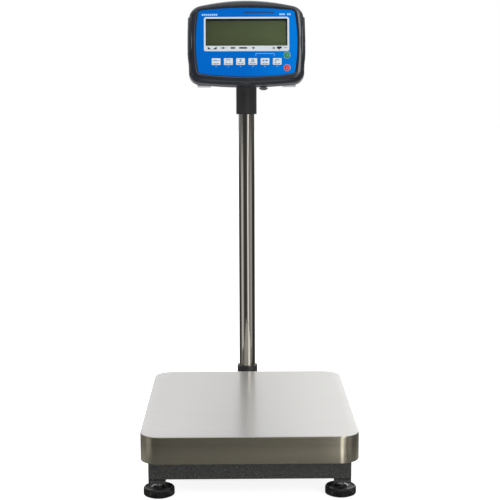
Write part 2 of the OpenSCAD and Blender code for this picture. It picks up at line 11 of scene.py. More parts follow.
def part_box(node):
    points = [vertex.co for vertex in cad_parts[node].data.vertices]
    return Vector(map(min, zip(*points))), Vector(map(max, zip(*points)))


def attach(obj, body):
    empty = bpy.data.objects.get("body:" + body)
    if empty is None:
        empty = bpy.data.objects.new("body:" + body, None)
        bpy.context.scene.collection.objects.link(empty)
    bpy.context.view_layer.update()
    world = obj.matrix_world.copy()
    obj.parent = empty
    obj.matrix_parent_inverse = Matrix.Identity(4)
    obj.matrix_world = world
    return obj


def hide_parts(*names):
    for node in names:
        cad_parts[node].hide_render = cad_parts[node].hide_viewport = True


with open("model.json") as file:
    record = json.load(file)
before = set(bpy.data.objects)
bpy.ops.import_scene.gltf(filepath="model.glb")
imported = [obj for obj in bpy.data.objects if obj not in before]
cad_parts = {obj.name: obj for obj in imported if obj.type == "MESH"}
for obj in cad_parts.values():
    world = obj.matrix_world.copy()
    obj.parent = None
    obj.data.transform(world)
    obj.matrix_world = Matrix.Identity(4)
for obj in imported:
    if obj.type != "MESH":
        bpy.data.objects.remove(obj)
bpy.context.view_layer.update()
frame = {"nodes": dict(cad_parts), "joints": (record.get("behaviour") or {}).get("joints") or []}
NODES = frame["nodes"]
JOINTS = {joint["name"]: joint for joint in frame["joints"]}
SCENE = bpy.context.scene
MM = 0.001
TAU = 2 * math.pi
FEET = ("fl", "fr", "bl", "br")

# The middle of the weighing face, and the indicator's own frame: its pivot, right, up the face and forward
PLATTER_LOW, PLATTER_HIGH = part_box("platter")
DECK = Vector(((PLATTER_LOW.x + PLATTER_HIGH.x) / 2, (PLATTER_LOW.y + PLATTER_HIGH.y) / 2, PLATTER_HIGH.z))
PIVOT = Vector(JOINTS["indicator_tilt"]["pos_m"])
FORWARD = -Vector(JOINTS["key_1_press"]["axis"]).normalized()
RIGHT = Vector((1, 0, 0))
UP_FACE = FORWARD.cross(RIGHT).normalized()


# ---------------------------------------------------------------- camera, lights and floor

# Where the camera stands from the weighing face, which way it looks in degrees, and its lens in millimetres
CAMERA_STAND = Vector((-0.0196, -2.4179, 0.6486))
CAMERA_YAW, CAMERA_DOWN, CAMERA_ROLL = 0.549, 9.556, -0.2
CAMERA_SENSOR, CAMERA_LENS, CAMERA_SHIFT = 36, 89.89, 0.0629
FLOOR_REACH = 14


def add_camera():
    """The photograph's viewing angle."""
    camera = bpy.data.objects.new("camera", bpy.data.cameras.new("camera"))
    SCENE.collection.objects.link(camera)
    yaw, down = math.radians(CAMERA_YAW), math.radians(CAMERA_DOWN)
    camera.location = DECK + CAMERA_STAND
    ahead = Vector((math.sin(yaw) * math.cos(down), math.cos(yaw) * math.cos(down), -math.sin(down)))
    roll = Quaternion((0, 0, 1), math.radians(CAMERA_ROLL))
    camera.rotation_euler = (ahead.to_track_quat("-Z", "Y") @ roll).to_euler()
    camera.data.sensor_width = CAMERA_SENSOR
    camera.data.lens = CAMERA_LENS
    camera.data.shift_y = CAMERA_SHIFT
    SCENE.camera = camera


# The studio round the scale, in bands from low to high. Each is (azimuth in degrees from the camera's side,
# positive to the right, and brightness). The platter's skirt mirrors HEM, the column SKIRTING and WALLS, the
# indicator UPPER, and the weighing face UPPER and CEILING.
HEM = (
    (-180, 0.3), (-141, 0.19), (-115, 0.3), (-96, 0.22), (-80, 0.14), (-65, 0.1), (-33, 0.12), (-4, 0.136),
    (0, 0.17), (4, 0.25), (8, 0.3), (12, 0.5), (16, 1.5), (24, 1.5), (29, 0.3), (37, 0.1), (48, 0.09),
    (74, 0.1), (106, 0.13), (140, 0.24), (180, 0.3),
)
SKIRTING = (
    (-180, 0.9), (-158, 0.5), (-142, 0.1), (-110, 0.03), (-97, 0.1), (-84, 0.48), (-72, 0.8), (-59, 0.624),
    (-48, 0.13), (-36, 0.058), (-12, 0.058), (1, 0.13), (8, 0.455), (12, 1.75), (16, 1.75), (20, 0.5),
    (27, 0.3), (47, 0.3), (62, 0.56), (72, 0.34), (82, 0.07), (106, 0.03), (124, 0.05), (140, 0.15),
    (158, 0.7), (180, 1),
)
WALLS = (
    (-180, 1.08), (-173, 1.6), (-160, 1.3), (-150, 0.35), (-119, 0.32), (-105, 0.26), (-89, 0.18),
    (-75, 0.12), (-43, 0.05), (-10, 0.05), (5, 0.09), (14, 0.25), (19, 1.5), (28, 1.5), (34, 0.25),
    (45, 0.12), (76, 0.10), (106, 0.12), (139, 0.15), (150, 0.4), (160, 1.8), (172, 2.3), (180, 1.08),
)
UPPER = (
    (-180, 1.10), (-171, 1.5), (-155, 1.1), (-130, 0.6), (-100, 0.4), (-60, 0.10), (-10, 0.08), (8, 0.10),
    (14, 0.5), (18, 3.8), (38, 3.8), (45, 0.5), (60, 0.25), (90, 0.5), (130, 0.6), (155, 1.4), (170, 2.2),
    (180, 1.10),
)
CEILING = ((-180, 1.08), (-110, 1.08), (-50, 0.8), (50, 0.8), (110, 1.08), (180, 1.08))

# Each band takes over from the one below it between two heights, from -1 straight down to 1 straight up
BANDS = (
    (-0.60, -0.45, HEM), (-0.27, -0.23, SKIRTING), (-0.09, -0.03, WALLS), (0.20, 0.28, UPPER),
    (0.45, 0.80, CEILING),
)
UNDERFOOT = 0.08
BRIGHTEST = 4.0


def add_world():
    """What shines on the scale: bands of panels all round and overhead, and plain white behind it."""
    world = bpy.data.worlds.new("studio")
    world.use_nodes = True
    SCENE.world = world
    tree = world.node_tree
    tree.nodes.clear()
    link = tree.links.new

    def feed(socket, value):
        if isinstance(value, bpy.types.NodeSocket):
            link(value, socket)
        else:
            socket.default_value = value

    def math_node(kind, a, b):
        node = tree.nodes.new("ShaderNodeMath")
        node.operation = kind
        feed(node.inputs[0], a)
        feed(node.inputs[1], b)
        return node.outputs[0]

    def grey(level):
        return (level / BRIGHTEST,) * 3 + (1,)

    coords = tree.nodes.new("ShaderNodeTexCoord")
    split = tree.nodes.new("ShaderNodeSeparateXYZ")
    link(coords.outputs["Generated"], split.inputs[0])
    azimuth = math_node("ARCTAN2", split.outputs["X"], math_node("MULTIPLY", split.outputs["Y"], -1.0))
    turn = math_node("ADD", math_node("DIVIDE", azimuth, TAU), 0.5)

    def round_wall(levels):
        ramp = tree.nodes.new("ShaderNodeValToRGB")
        stops = ramp.color_ramp.elements
        while len(stops) < len(levels):
            stops.new(1.0)
        for stop, (angle, level) in zip(stops, levels):
            stop.position = angle / 360 + 0.5
            stop.color = grey(level)
        link(turn, ramp.inputs[0])
        return ramp.outputs[0]

    def mixed(below, above, low, high):
        height = tree.nodes.new("ShaderNodeMapRange")
        height.interpolation_type = "SMOOTHSTEP"
        height.inputs["From Min"].default_value = low
        height.inputs["From Max"].default_value = high
        link(split.outputs["Z"], height.inputs["Value"])
        mix = tree.nodes.new("ShaderNodeMix")
        mix.data_type = "RGBA"
        link(height.outputs[0], mix.inputs["Factor"])
        feed(mix.inputs["A"], below)
        feed(mix.inputs["B"], above)
        return mix.outputs["Result"]

    around = grey(UNDERFOOT)
    for low, high, levels in BANDS:
        around = mixed(around, round_wall(levels), low, high)
    panels = tree.nodes.new("ShaderNodeBackground")
    panels.inputs["Strength"].default_value = BRIGHTEST
    link(around, panels.inputs["Color"])
    backdrop = tree.nodes.new("ShaderNodeBackground")
    backdrop.inputs["Color"].default_value = (1, 1, 1, 1)
    light_path = tree.nodes.new("ShaderNodeLightPath")
    choose = tree.nodes.new("ShaderNodeMixShader")
    link(light_path.outputs["Is Camera Ray"], choose.inputs[0])
    link(panels.outputs[0], choose.inputs[1])
    link(backdrop.outputs[0], choose.inputs[2])
    out = tree.nodes.new("ShaderNodeOutputWorld")
    link(choose.outputs[0], out.inputs["Surface"])


def add_light(name, place, target, size, power):
    """A soft square light that shows in no reflection, because the studio's panels are the reflections."""
    light = bpy.data.objects.new(name, bpy.data.lights.new(name, "AREA"))
    SCENE.collection.objects.link(light)
    light.data.size = size
    light.data.energy = power
    light.location = place
    light.rotation_euler = (Vector(target) - Vector(place)).to_track_quat("-Z", "Y").to_euler()
    light.visible_glossy = False
    light.visible_camera = False


def add_floor():
    corners = [(x * FLOOR_REACH, y * FLOOR_REACH, 0) for x, y in ((-1, -1), (1, -1), (1, 1), (-1, 1))]
    mesh = bpy.data.meshes.new("floor")
    mesh.from_pydata(corners, [], [(0, 1, 2, 3)])
    floor = bpy.data.objects.new("floor", mesh)
    SCENE.collection.objects.link(floor)
    floor.data.materials.append(pale_floor())
    floor.visible_glossy = False


# ---------------------------------------------------------------- materials

class Finish:
    """A material's node tree with a few short ways to add to it. Textures are per metre of the object."""

    def __init__(self, name, color, roughness, metallic=0.0):
        self.material = bpy.data.materials.new(name)
        self.material.use_nodes = True
        self.tree = self.material.node_tree
        self.shader = self.tree.nodes["Principled BSDF"]
        self.shader.inputs["Base Color"].default_value = (*color, 1)
        self.shader.inputs["Roughness"].default_value = roughness
        self.shader.inputs["Metallic"].default_value = metallic
        self.coords = self.tree.nodes.new("ShaderNodeTexCoord")

    def set(self, **values):
        """Sets the shader's own sockets: coat_roughness=0.3 is its Coat Roughness."""
        for key, value in values.items():
            self.shader.inputs[key.replace("_", " ").title().replace("Ior", "IOR")].default_value = value

    def link(self, a, b):
        self.tree.links.new(a, b)

    def mapped(self, scale, source="Object"):
        """Texture coordinates times scale, which is one number or one for each axis."""
        node = self.tree.nodes.new("ShaderNodeMapping")
        node.inputs["Scale"].default_value = scale if isinstance(scale, tuple) else (scale,) * 3
        self.link(self.coords.outputs[source], node.inputs["Vector"])
        return node.outputs[0]

    def noise(self, scale, detail=3.0, rough=0.5, source="Object"):
        node = self.tree.nodes.new("ShaderNodeTexNoise")
        node.inputs["Scale"].default_value = 1.0
        node.inputs["Detail"].default_value = detail
        node.inputs["Roughness"].default_value = rough
        self.link(self.mapped(scale, source), node.inputs["Vector"])
        return node.outputs["Fac"]

    def cells(self, scale):
        node = self.tree.nodes.new("ShaderNodeTexVoronoi")
        node.inputs["Scale"].default_value = 1.0
        self.link(self.mapped(scale), node.inputs["Vector"])
        return node.outputs["Distance"]

    def ramp(self, value, low, high, to_low=0.0, to_high=1.0):
        """Runs from to_low where value is low to to_high where it is high."""
        node = self.tree.nodes.new("ShaderNodeMapRange")
        for key, number in (("From Min", low), ("From Max", high), ("To Min", to_low), ("To Max", to_high)):
            node.inputs[key].default_value = number
        self.link(value, node.inputs["Value"])
        return node.outputs[0]

    def tint(self, value, dark, light):
        """Runs from the colour dark where value is 0 to the colour light where it is 1."""
        node = self.tree.nodes.new("ShaderNodeMix")
        node.data_type = "RGBA"
        node.inputs["A"].default_value = (*dark, 1)
        node.inputs["B"].default_value = (*light, 1)
        self.link(value, node.inputs["Factor"])
        return node.outputs["Result"]

    def times(self, a, b):
        node = self.tree.nodes.new("ShaderNodeMath")
        node.operation = "MULTIPLY"
        self.link(a, node.inputs[0])
        self.link(b, node.inputs[1])
        return node.outputs[0]

    def multiplied(self, base, other, amount=1.0):
        node = self.tree.nodes.new("ShaderNodeMix")
        node.data_type = "RGBA"
        node.blend_type = "MULTIPLY"
        node.inputs["Factor"].default_value = amount
        self.link(base, node.inputs["A"])
        self.link(other, node.inputs["B"])
        return node.outputs["Result"]

    def position(self, axis):
        split = self.tree.nodes.new("ShaderNodeSeparateXYZ")
        self.link(self.coords.outputs["Object"], split.inputs[0])
        return split.outputs[axis]

    def color(self, socket):
        self.link(socket, self.shader.inputs["Base Color"])

    def roughness(self, socket):
        self.link(socket, self.shader.inputs["Roughness"])

    def bump(self, height, distance, strength=1.0, over=None):
        """Bumps the surface by height times distance, in metres. It can lie over another bump."""
        node = self.tree.nodes.new("ShaderNodeBump")
        node.inputs["Strength"].default_value = strength
        node.inputs["Distance"].default_value = distance
        self.link(height, node.inputs["Height"])
        if over is not None:
            self.link(over, node.inputs["Normal"])
        self.link(node.outputs[0], self.shader.inputs["Normal"])
        return node.outputs[0]


def shade(color, factor):
    return tuple(c * factor for c in color)


def pale_floor():
    """A white sweep lit from below, so that only a faint shadow falls on it."""
    f = Finish("pale_floor", (0.5, 0.5, 0.5), 0.9)
    f.color(f.tint(f.noise(3), (0.49, 0.49, 0.49), (0.51, 0.51, 0.51)))
    f.set(emission_color=(1, 1, 1, 1), emission_strength=0.88)
    return f.material


def brushed_sheet(name, dark, light, low, high, painted_hem_light=False):
    """Satin stainless sheet with its grain along the UV map's second direction. Its hem can carry painted
    light.
    """
    f = Finish(name, light, high, 1.0)
    grain = f.noise((2600, 5, 1), 4.0, 0.6, "UV")
    broad = f.noise((160, 1.6, 1), 2.0, 0.5, "UV")
    steel = f.tint(f.ramp(grain, 0.3, 0.7), dark, light)
    # Painted light on the skirt: full at the hem, darkening to 0.65 of it from two thirds of the way up
    if painted_hem_light:
        height = f.ramp(f.position("Z"), PLATTER_LOW.z, PLATTER_HIGH.z, 0.0, 1.5)
        steel = f.multiplied(steel, f.tint(height, (1, 1, 1), (0.65, 0.65, 0.65)))
    f.color(steel)
    f.roughness(f.ramp(f.times(grain, broad), 0.1, 0.45, low, high))
    f.set(anisotropic=1.0)
    tangent = f.tree.nodes.new("ShaderNodeTangent")
    tangent.direction_type = "UV_MAP"
    f.link(tangent.outputs[0], f.shader.inputs["Tangent"])
    f.bump(grain, 0.00002, 0.5)
    return f.material


def polished_tube():
    """Bright stainless tube: fine lines round it, and long faint smears along it."""
    f = Finish("polished_tube", (0.63, 0.62, 0.59), 0.16, 1.0)
    lines = f.noise((8, 8, 1800), 3.0, 0.6)
    smears = f.noise((60, 60, 5), 3.0, 0.5)
    f.color(f.tint(smears, (0.55, 0.52, 0.455), (0.65, 0.62, 0.56)))
    f.roughness(f.ramp(f.times(lines, smears), 0.1, 0.45, 0.05, 0.11))
    f.bump(smears, 0.0004, 0.25)
    return f.material


def satin_steel(name="satin_steel", color=(0.60, 0.60, 0.60), rough=0.38):
    """Cloudy machined metal with fine level scratches."""
    f = Finish(name, color, rough, 1.0)
    scratch = f.noise((90, 90, 900), 4.0, 0.65)
    f.color(f.tint(f.noise(45), shade(color, 0.84), shade(color, 1.12)))
    f.roughness(f.ramp(scratch, 0.3, 0.7, rough - 0.08, rough + 0.1))
    f.bump(scratch, 0.00003, 0.5)
    return f.material


def zinc_plate():
    """Plated steel with a small spangle."""
    f = Finish("zinc_plate", (0.68, 0.69, 0.69), 0.32, 1.0)
    spangle = f.noise(240, 3.0, 0.6)
    f.color(f.tint(spangle, (0.55, 0.56, 0.57), (0.76, 0.76, 0.74)))
    f.roughness(f.ramp(spangle, 0.3, 0.7, 0.25, 0.42))
    f.bump(spangle, 0.00004, 0.4)
    return f.material


# Painted shade under a height where two parts meet: it darkens from the first to the second of these depths
# below that height, and stays dark above
SHADE_LINE_LOW, SHADE_LINE_HIGH = 2.6 * MM, 1.6 * MM


def hammertone(name="hammertone", shade_line=None):
    """Dark grey hammered paint with dimples and flecks, with painted shade, nearly black, just under a given
    height.
    """
    f = Finish(name, (0.05, 0.05, 0.05), 0.42)
    dimples = f.cells(330)
    flecks = f.noise(430, 3.0, 0.8)
    base = f.tint(f.ramp(flecks, 0.46, 0.68), (0.009, 0.009, 0.0083), (0.094, 0.094, 0.088))
    if shade_line is not None:
        # Painted shade, nearly black, at the top of a part, under the height where another part sits on it
        gap = f.ramp(f.position("Z"), shade_line - SHADE_LINE_LOW, shade_line - SHADE_LINE_HIGH)
        base = f.multiplied(base, f.tint(gap, (1.0, 1.0, 1.0), (0.08, 0.08, 0.08)))
    f.color(base)
    f.roughness(f.ramp(f.noise(14, 2.0), 0.3, 0.7, 0.36, 0.5))
    f.set(coat_weight=0.15, coat_roughness=0.3)
    first = f.bump(dimples, 0.0005, 0.45)
    f.bump(flecks, 0.00012, 0.5, first)
    return f.material


def moulded(name, color, rough, grain=1500, depth=0.00004, coat=0.0, spread=0.15):
    """Moulded plastic: a fine grain of that depth in metres, and colour that drifts by spread."""
    f = Finish(name, color, rough)
    fine = f.noise(grain, 2.0, 0.6)
    drift = f.ramp(f.noise(18), 0.3, 0.7)
    f.color(f.tint(drift, shade(color, 1 - spread), shade(color, 1 + spread)))
    f.roughness(f.ramp(fine, 0.3, 0.7, rough - 0.06, rough + 0.06))
    if coat:
        f.set(coat_weight=coat, coat_roughness=0.12)
    f.bump(fine, depth, 0.6)
    return f.material


def printed(name, color, rough, spread=0.05):
    """Printed colour, almost flat."""
    return moulded(name, color, rough, grain=2000, depth=0.000005, spread=spread)


def key_plastic(name, color):
    """The glossy plastic of the round keys."""
    return moulded(name, color, 0.35, grain=2000, depth=0.00001, coat=0.2, spread=0.05)


def keypad_film():
    """The printed blue film, with painted light making it a little lighter toward its right side."""
    f = Finish("keypad_film", (0.0, 0.107, 0.45), 0.42)
    fine = f.noise(2600, 2.0, 0.6)
    painted_light_across = f.ramp(f.position("X"), 0.0, FILM_W * MM)
    f.color(f.tint(painted_light_across, (0.0, 0.103, 0.435), (0.0, 0.150, 0.545)))
    f.roughness(f.ramp(fine, 0.3, 0.7, 0.36, 0.48))
    f.set(specular_ior_level=0.03)
    f.bump(fine, 0.00001, 0.6)
    return f.material


def lcd_face():
    """Unlit display glass: olive, with painted light making it a little lighter to the right."""
    f = Finish("lcd_face", (0.07, 0.08, 0.04), 0.4)
    f.set(specular_ior_level=0.15)
    painted_light_across = f.ramp(f.position("X"), -0.09, 0.09)
    base = f.tint(painted_light_across, (0.050, 0.060, 0.026), (0.076, 0.104, 0.044))
    mottle = f.tint(f.noise(30), (0.8, 0.8, 0.8), (1, 1, 1))
    f.color(f.multiplied(base, mottle, 0.25))
    f.bump(f.noise(600), 0.00001, 0.2)
    return f.material


def clear_window():
    """The thin clear sheet over the display."""
    f = Finish("clear_window", (0.03, 0.035, 0.03), 0.06)
    f.set(alpha=0.06)
    f.roughness(f.ramp(f.noise(40), 0.3, 0.7, 0.04, 0.10))
    return f.material


def circuit_board():
    """Green board with a lighter pattern of traces."""
    f = Finish("circuit_board", (0.02, 0.16, 0.06), 0.35)
    traces = f.cells(180)
    f.color(f.tint(f.ramp(traces, 0.2, 0.6), (0.015, 0.12, 0.045), (0.04, 0.26, 0.10)))
    f.bump(traces, 0.00004, 0.5)
    return f.material


# ---------------------------------------------------------------- mesh helpers

# Edges sharper than these angles, in degrees, stay crisp on a new piece and are rounded on a CAD node
CRISP_ANGLE, ROUNDED_ANGLE = 38, 40


def add_piece(name, vertices, faces, material, body, replaces=(), smooth=True):
    """A new piece that rides on a body, and may stand for CAD nodes."""
    mesh = bpy.data.meshes.new(name)
    mesh.from_pydata([tuple(v) for v in vertices], [], faces)
    made = bmesh.new()
    made.from_mesh(mesh)
    bmesh.ops.remove_doubles(made, verts=made.verts, dist=1e-7)
    bmesh.ops.recalc_face_normals(made, faces=made.faces)
    made.to_mesh(mesh)
    made.free()
    mesh.update()
    if smooth:
        mesh.polygons.foreach_set("use_smooth", [True] * len(mesh.polygons))
        mesh.set_sharp_from_angle(angle=math.radians(CRISP_ANGLE))
    piece = bpy.data.objects.new(name, mesh)
    SCENE.collection.objects.link(piece)
    mesh.materials.append(material)
    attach(piece, body)
    if replaces:
        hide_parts(*replaces)
    return piece


def joined_rings(rings, closed=False, cap_first=False, cap_last=False, start=0):
    """Faces that join rings of equal length, each a closed loop, after start vertices of the same piece."""
    count = len(rings[0])
    faces = []
    pairs = len(rings) if closed else len(rings) - 1
    for i in range(pairs):
        a, b = start + i * count, start + ((i + 1) % len(rings)) * count
        for k in range(count):
            n = (k + 1) % count
            faces.append((a + k, a + n, b + n, b + k))
    if cap_first:
        faces.append(tuple(start + k for k in range(count)))
    if cap_last:
        faces.append(tuple(start + (len(rings) - 1) * count + k for k in range(count)))
    return [v for ring in rings for v in ring], faces


def lathe(profile, centre, steps=64, ripple=None):
    """Turns (radius, height) pairs round an upright axis. ripple(angle, radius, height) scales a radius."""
    rings = []
    for radius, height in profile:
        ring = []
        for k in range(steps):
            angle = TAU * k / steps
            r = radius * (ripple(angle, radius, height) if ripple else 1)
            x, y = centre[0] + r * math.cos(angle), centre[1] + r * math.sin(angle)
            ring.append(Vector((x, y, height)))
        rings.append(ring)
    return joined_rings(rings, cap_first=True, cap_last=True)


def rounded_outline(half_w, half_h, radius, corner_steps=10, side_steps=20):
    """A rectangle with round corners, anticlockwise from its right, its sides cut into short lengths."""
    points = []
    for sx, sy, start in ((1, 1, 0), (-1, 1, 90), (-1, -1, 180), (1, -1, 270)):
        for k in range(corner_steps + 1):
            angle = math.radians(start + 90 * k / corner_steps)
            points.append((sx * (half_w - radius) + radius * math.cos(angle),
                           sy * (half_h - radius) + radius * math.sin(angle)))
        for k in range(1, side_steps):
            t = 1 - 2 * k / side_steps
            if start % 180 == 0:
                points.append((sx * (half_w - radius) * t, sy * half_h))
            else:
                points.append((sx * half_w, sy * (half_h - radius) * t))
    return points


def small_outline(half_w, half_h, radius):
    return rounded_outline(half_w, half_h, radius, 6, 4)


def moved(outline, dx, dv):
    return [(x + dx, v + dv) for x, v in outline]


def paint(node, material):
    """Gives a CAD node its material."""
    piece = NODES[node]
    if not piece.material_slots:
        piece.data.materials.append(material)
    for slot in piece.material_slots:
        slot.material = material


def soften(node, material, width, segments):
    """Gives a CAD node its material, and rounds its edges with modifiers."""
    paint(node, material)
    weld = NODES[node].modifiers.new("weld", "WELD")
    weld.merge_threshold = 1e-5
    bevel = NODES[node].modifiers.new("bevel", "BEVEL")
    bevel.width = width
    bevel.segments = segments
    bevel.limit_method = "ANGLE"
    bevel.angle_limit = math.radians(ROUNDED_ANGLE)
    bevel.harden_normals = True


# ---------------------------------------------------------------- platter

# The cover's corner radius, the bend at its edge, its sheet, and how far in its flat face starts
COVER_CORNER, COVER_BEND, COVER_SHEET, COVER_FACE = 38 * MM, 2.2 * MM, 1.5 * MM, 18 * MM
# Its cut edge at the bottom of the skirt: how far it is rounded, and from how high up
COVER_LIP, COVER_LIP_HEIGHT = 0.3 * MM, 0.6 * MM
BEND_STEPS = 6


def make_platter():
    """The pressed cover, from the middle of its top over the bent edge, down the skirt and back inside."""
    half_w = (PLATTER_HIGH.x - PLATTER_LOW.x) / 2
    half_d = (PLATTER_HIGH.y - PLATTER_LOW.y) / 2
    drop = PLATTER_HIGH.z - PLATTER_LOW.z
    outside = [(COVER_FACE, 0.0)]
    for k in range(BEND_STEPS + 1):
        angle = math.radians(90 * k / BEND_STEPS)
        outside.append((COVER_BEND * (1 - math.sin(angle)), COVER_BEND * (1 - math.cos(angle))))
    outside += [(0.0, drop * 0.5), (0.0, drop - COVER_LIP_HEIGHT), (COVER_LIP, drop)]
    inside = [
        (COVER_SHEET - COVER_LIP, drop), (COVER_SHEET, drop - COVER_LIP_HEIGHT),
        (COVER_SHEET, COVER_BEND + COVER_SHEET), (COVER_SHEET + COVER_BEND, COVER_SHEET),
        (COVER_FACE, COVER_SHEET),
    ]
    rings = []
    for inset, depth in outside + inside:
        outline = rounded_outline(half_w - inset, half_d - inset, COVER_CORNER - inset, 14, 8)
        rings.append([Vector((DECK.x + x, DECK.y + y, DECK.z - depth)) for x, y in outline])
    vertices, faces = joined_rings(rings, cap_first=True, cap_last=True)
    face_steel = brushed_sheet("brushed_face", (0.63, 0.622, 0.606), (0.70, 0.694, 0.680), 0.31, 0.41)
    # The skirt is the same sheet as the face, painted lighter and warmer: painted light and a painted warm
    # reflection
    skirt_steel_painted_light = brushed_sheet("brushed_skirt_painted_light", (0.88, 0.80, 0.62), (0.97, 0.90, 0.71), 0.22, 0.28, True)
    piece = add_piece("platter_sheet", vertices, faces, face_steel, "platter", ["platter"])
    piece.data.materials.append(skirt_steel_painted_light)
    run_grain(piece.data)


def run_grain(mesh):
    """Runs the cover's grain from side to side on its face and round its skirt, in a UV map in metres."""
    layer = mesh.uv_layers.new(name="grain")
    for face in mesh.polygons:
        flat = abs(face.normal.z) > 0.7
        face.material_index = 0 if flat else 1
        for index in face.loop_indices:
            point = mesh.vertices[mesh.loops[index].vertex_index].co
            along = point.x if abs(face.normal.y) > abs(face.normal.x) else point.y
            layer.data[index].uv = (point.y, point.x) if flat else (point.z, along)


# ---------------------------------------------------------------- feet

# A knob in millimetres: (in from its rim, up from its base), then (radius, up), and then (radius, down from
# its top)
KNOB_RIM = (
    (3.0, 0.0), (1.2, 0.2), (0.0, 1.6), (0.0, 6.0), (0.0, 11.5), (0.3, 13.0), (1.1, 14.3), (2.0, 14.9),
    (2.8, 15.0), (3.5, 14.75), (4.5, 14.55),
)
KNOB_DISH = ((17, 14.7), (13.4, 14.5), (12.5, 14.7), (12, 15.4))
KNOB_HUB = ((11.5, 0.4), (10.7, 0.0), (6.2, 0.0), (5.6, 0.8))
# Its ribs: how many, how deep as a share of its radius, and how narrow the grooves between them are
KNOB_RIBS, RIB_DEPTH, RIB_NARROWING = 44, 0.055, 1.6
# The share of the radius that they lie outside, and the height above which only a share of them is left
RIB_INNER, RIB_HEIGHT, RIB_FADED = 0.93, 12 * MM, 0.4
# A stud's thread: its pitch, its depth, and where in a pitch its flat crest starts and ends
THREAD_PITCH, THREAD_DEPTH, THREAD_CREST = 1.5 * MM, 0.8 * MM, (0.45, 0.55)
# The radii at a stud's lower and upper end, and how far in from each the thread starts
STUD_ENDS, STUD_PLAIN = (3.5 * MM, 3.2 * MM), (0.4 * MM, 0.6 * MM)


def knob_profile(radius, base, top):
    """A knob's rounded rim, the dish inside it, and the hub with the stud's hole."""
    rim = [(radius - inset * MM, base + up * MM) for inset, up in KNOB_RIM]
    dish = [(r * MM, base + up * MM) for r, up in KNOB_DISH]
    hub = [(r * MM, top - down * MM) for r, down in KNOB_HUB]
    return rim + dish + hub


def thread_profile(radius, base, top):
    """A stud with narrow crests, one pitch apart, and a short taper at each end."""
    root = radius - THREAD_DEPTH
    profile = [(STUD_ENDS[0], base)]
    for i in range(int((top - base) / THREAD_PITCH) - 1):
        z = base + STUD_PLAIN[0] + i * THREAD_PITCH
        profile.append((root, z))
        profile += [(radius, z + THREAD_PITCH * share) for share in THREAD_CREST]
    return profile + [(root, top - STUD_PLAIN[1]), (STUD_ENDS[1], top)]


def make_feet(knob_plastic, zinc):
    """A ribbed knob and a threaded stud for each levelling foot."""
    for foot in FEET:
        knob, stud = "foot_knob_" + foot, "foot_stud_" + foot
        low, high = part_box(knob)
        centre = ((low.x + high.x) / 2, (low.y + high.y) / 2)
        radius = (high.x - low.x) / 2
        ribs_end = low.z + RIB_HEIGHT

        def ribbed(angle, r, height):
            if r < radius * RIB_INNER:
                return 1
            depth = RIB_DEPTH * (1 if height < ribs_end else RIB_FADED)
            return 1 - depth * (0.5 - 0.5 * math.cos(KNOB_RIBS * angle)) ** RIB_NARROWING

        vertices, faces = lathe(knob_profile(radius, low.z, high.z), centre, KNOB_RIBS * 6, ribbed)
        add_piece("knob_" + foot, vertices, faces, knob_plastic, "foot_" + foot, [knob])
        low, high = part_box(stud)
        vertices, faces = lathe(thread_profile((high.x - low.x) / 2, low.z, high.z), centre, 40)
        add_piece("stud_" + foot, vertices, faces, zinc, "foot_" + foot, [stud])


# ---------------------------------------------------------------- indicator

# The case and the keypad film, in millimetres in the indicator's frame: x to the right, v up the face and w
# forward. Each has half its width, half its height and its corner radius. A bow is how far the corners draw
# in from the top, from the bottom, and from the sides above and below their middle.
HEAD_W, HEAD_H, HEAD_CORNER = 120.4, 88.0, 19.0
HEAD_BOW = (17.0, 8.0, 3.8, 1.6)
FILM_W, FILM_H, FILM_CORNER = 104.0, 71.0, 6.0
FILM_BOW = (6.0, 7.0, 6.0, 6.0)
# The film's middle above the pivot, its face, and the gap round it, then where the case's halves meet
FILM_RISE, FILM_FACE, FILM_GAP = -2.0, 72.0, 0.3
PARTING = 40.0
# How thick print on the film is, and marks
PRINT_THICK, MARK_THICK = 0.05, 0.08


def in_head(x, v, w):
    """A point of the indicator, in millimetres in its own frame, in the row frame."""
    return PIVOT + RIGHT * (x * MM) + UP_FACE * (v * MM) + FORWARD * (w * MM)


def head_ring(outline, w):
    return [in_head(x, v, w) for x, v in outline]


def head_box(node):
    """A CAD node's lowest and highest corner in the indicator's frame, in millimetres."""
    points = [vertex.co - PIVOT for vertex in NODES[node].data.vertices]
    axes = (RIGHT, UP_FACE, FORWARD)
    low = [min(p.dot(axis) for p in points) / MM for axis in axes]
    high = [max(p.dot(axis) for p in points) / MM for axis in axes]
    return low, high


def middle_and_halves(low, high):
    """The middle of a box seen from in front, and half its width and height."""
    return (low[0] + high[0]) / 2, (low[1] + high[1]) / 2, (high[0] - low[0]) / 2, (high[1] - low[1]) / 2


def bowed(points, half_w, half_h, bows):
    """Draws a rectangle's corners in, so that its top, bottom and sides bulge."""
    top, bottom, side_high, side_low = bows
    shaped = []
    for x, y in points:
        sx, sy = math.copysign(1, x), math.copysign(1, y)
        rise, side = (top, side_high) if y > 0 else (bottom, side_low)
        shaped.append((x - sx * side * (y / half_h) ** 2 * abs(x) / half_w,
                       y - sy * rise * (x / half_w) ** 2 * abs(y) / half_h))
    return shaped


def head_outline(inset=0.0):
    w, h = HEAD_W - inset, HEAD_H - inset
    return bowed(rounded_outline(w, h, max(HEAD_CORNER - inset / 2, 2)), w, h, HEAD_BOW)


def film_outline(grow=0.0):
    w, h = FILM_W + grow, FILM_H + grow
    return moved(bowed(rounded_outline(w, h, FILM_CORNER), w, h, FILM_BOW), 0, FILM_RISE)


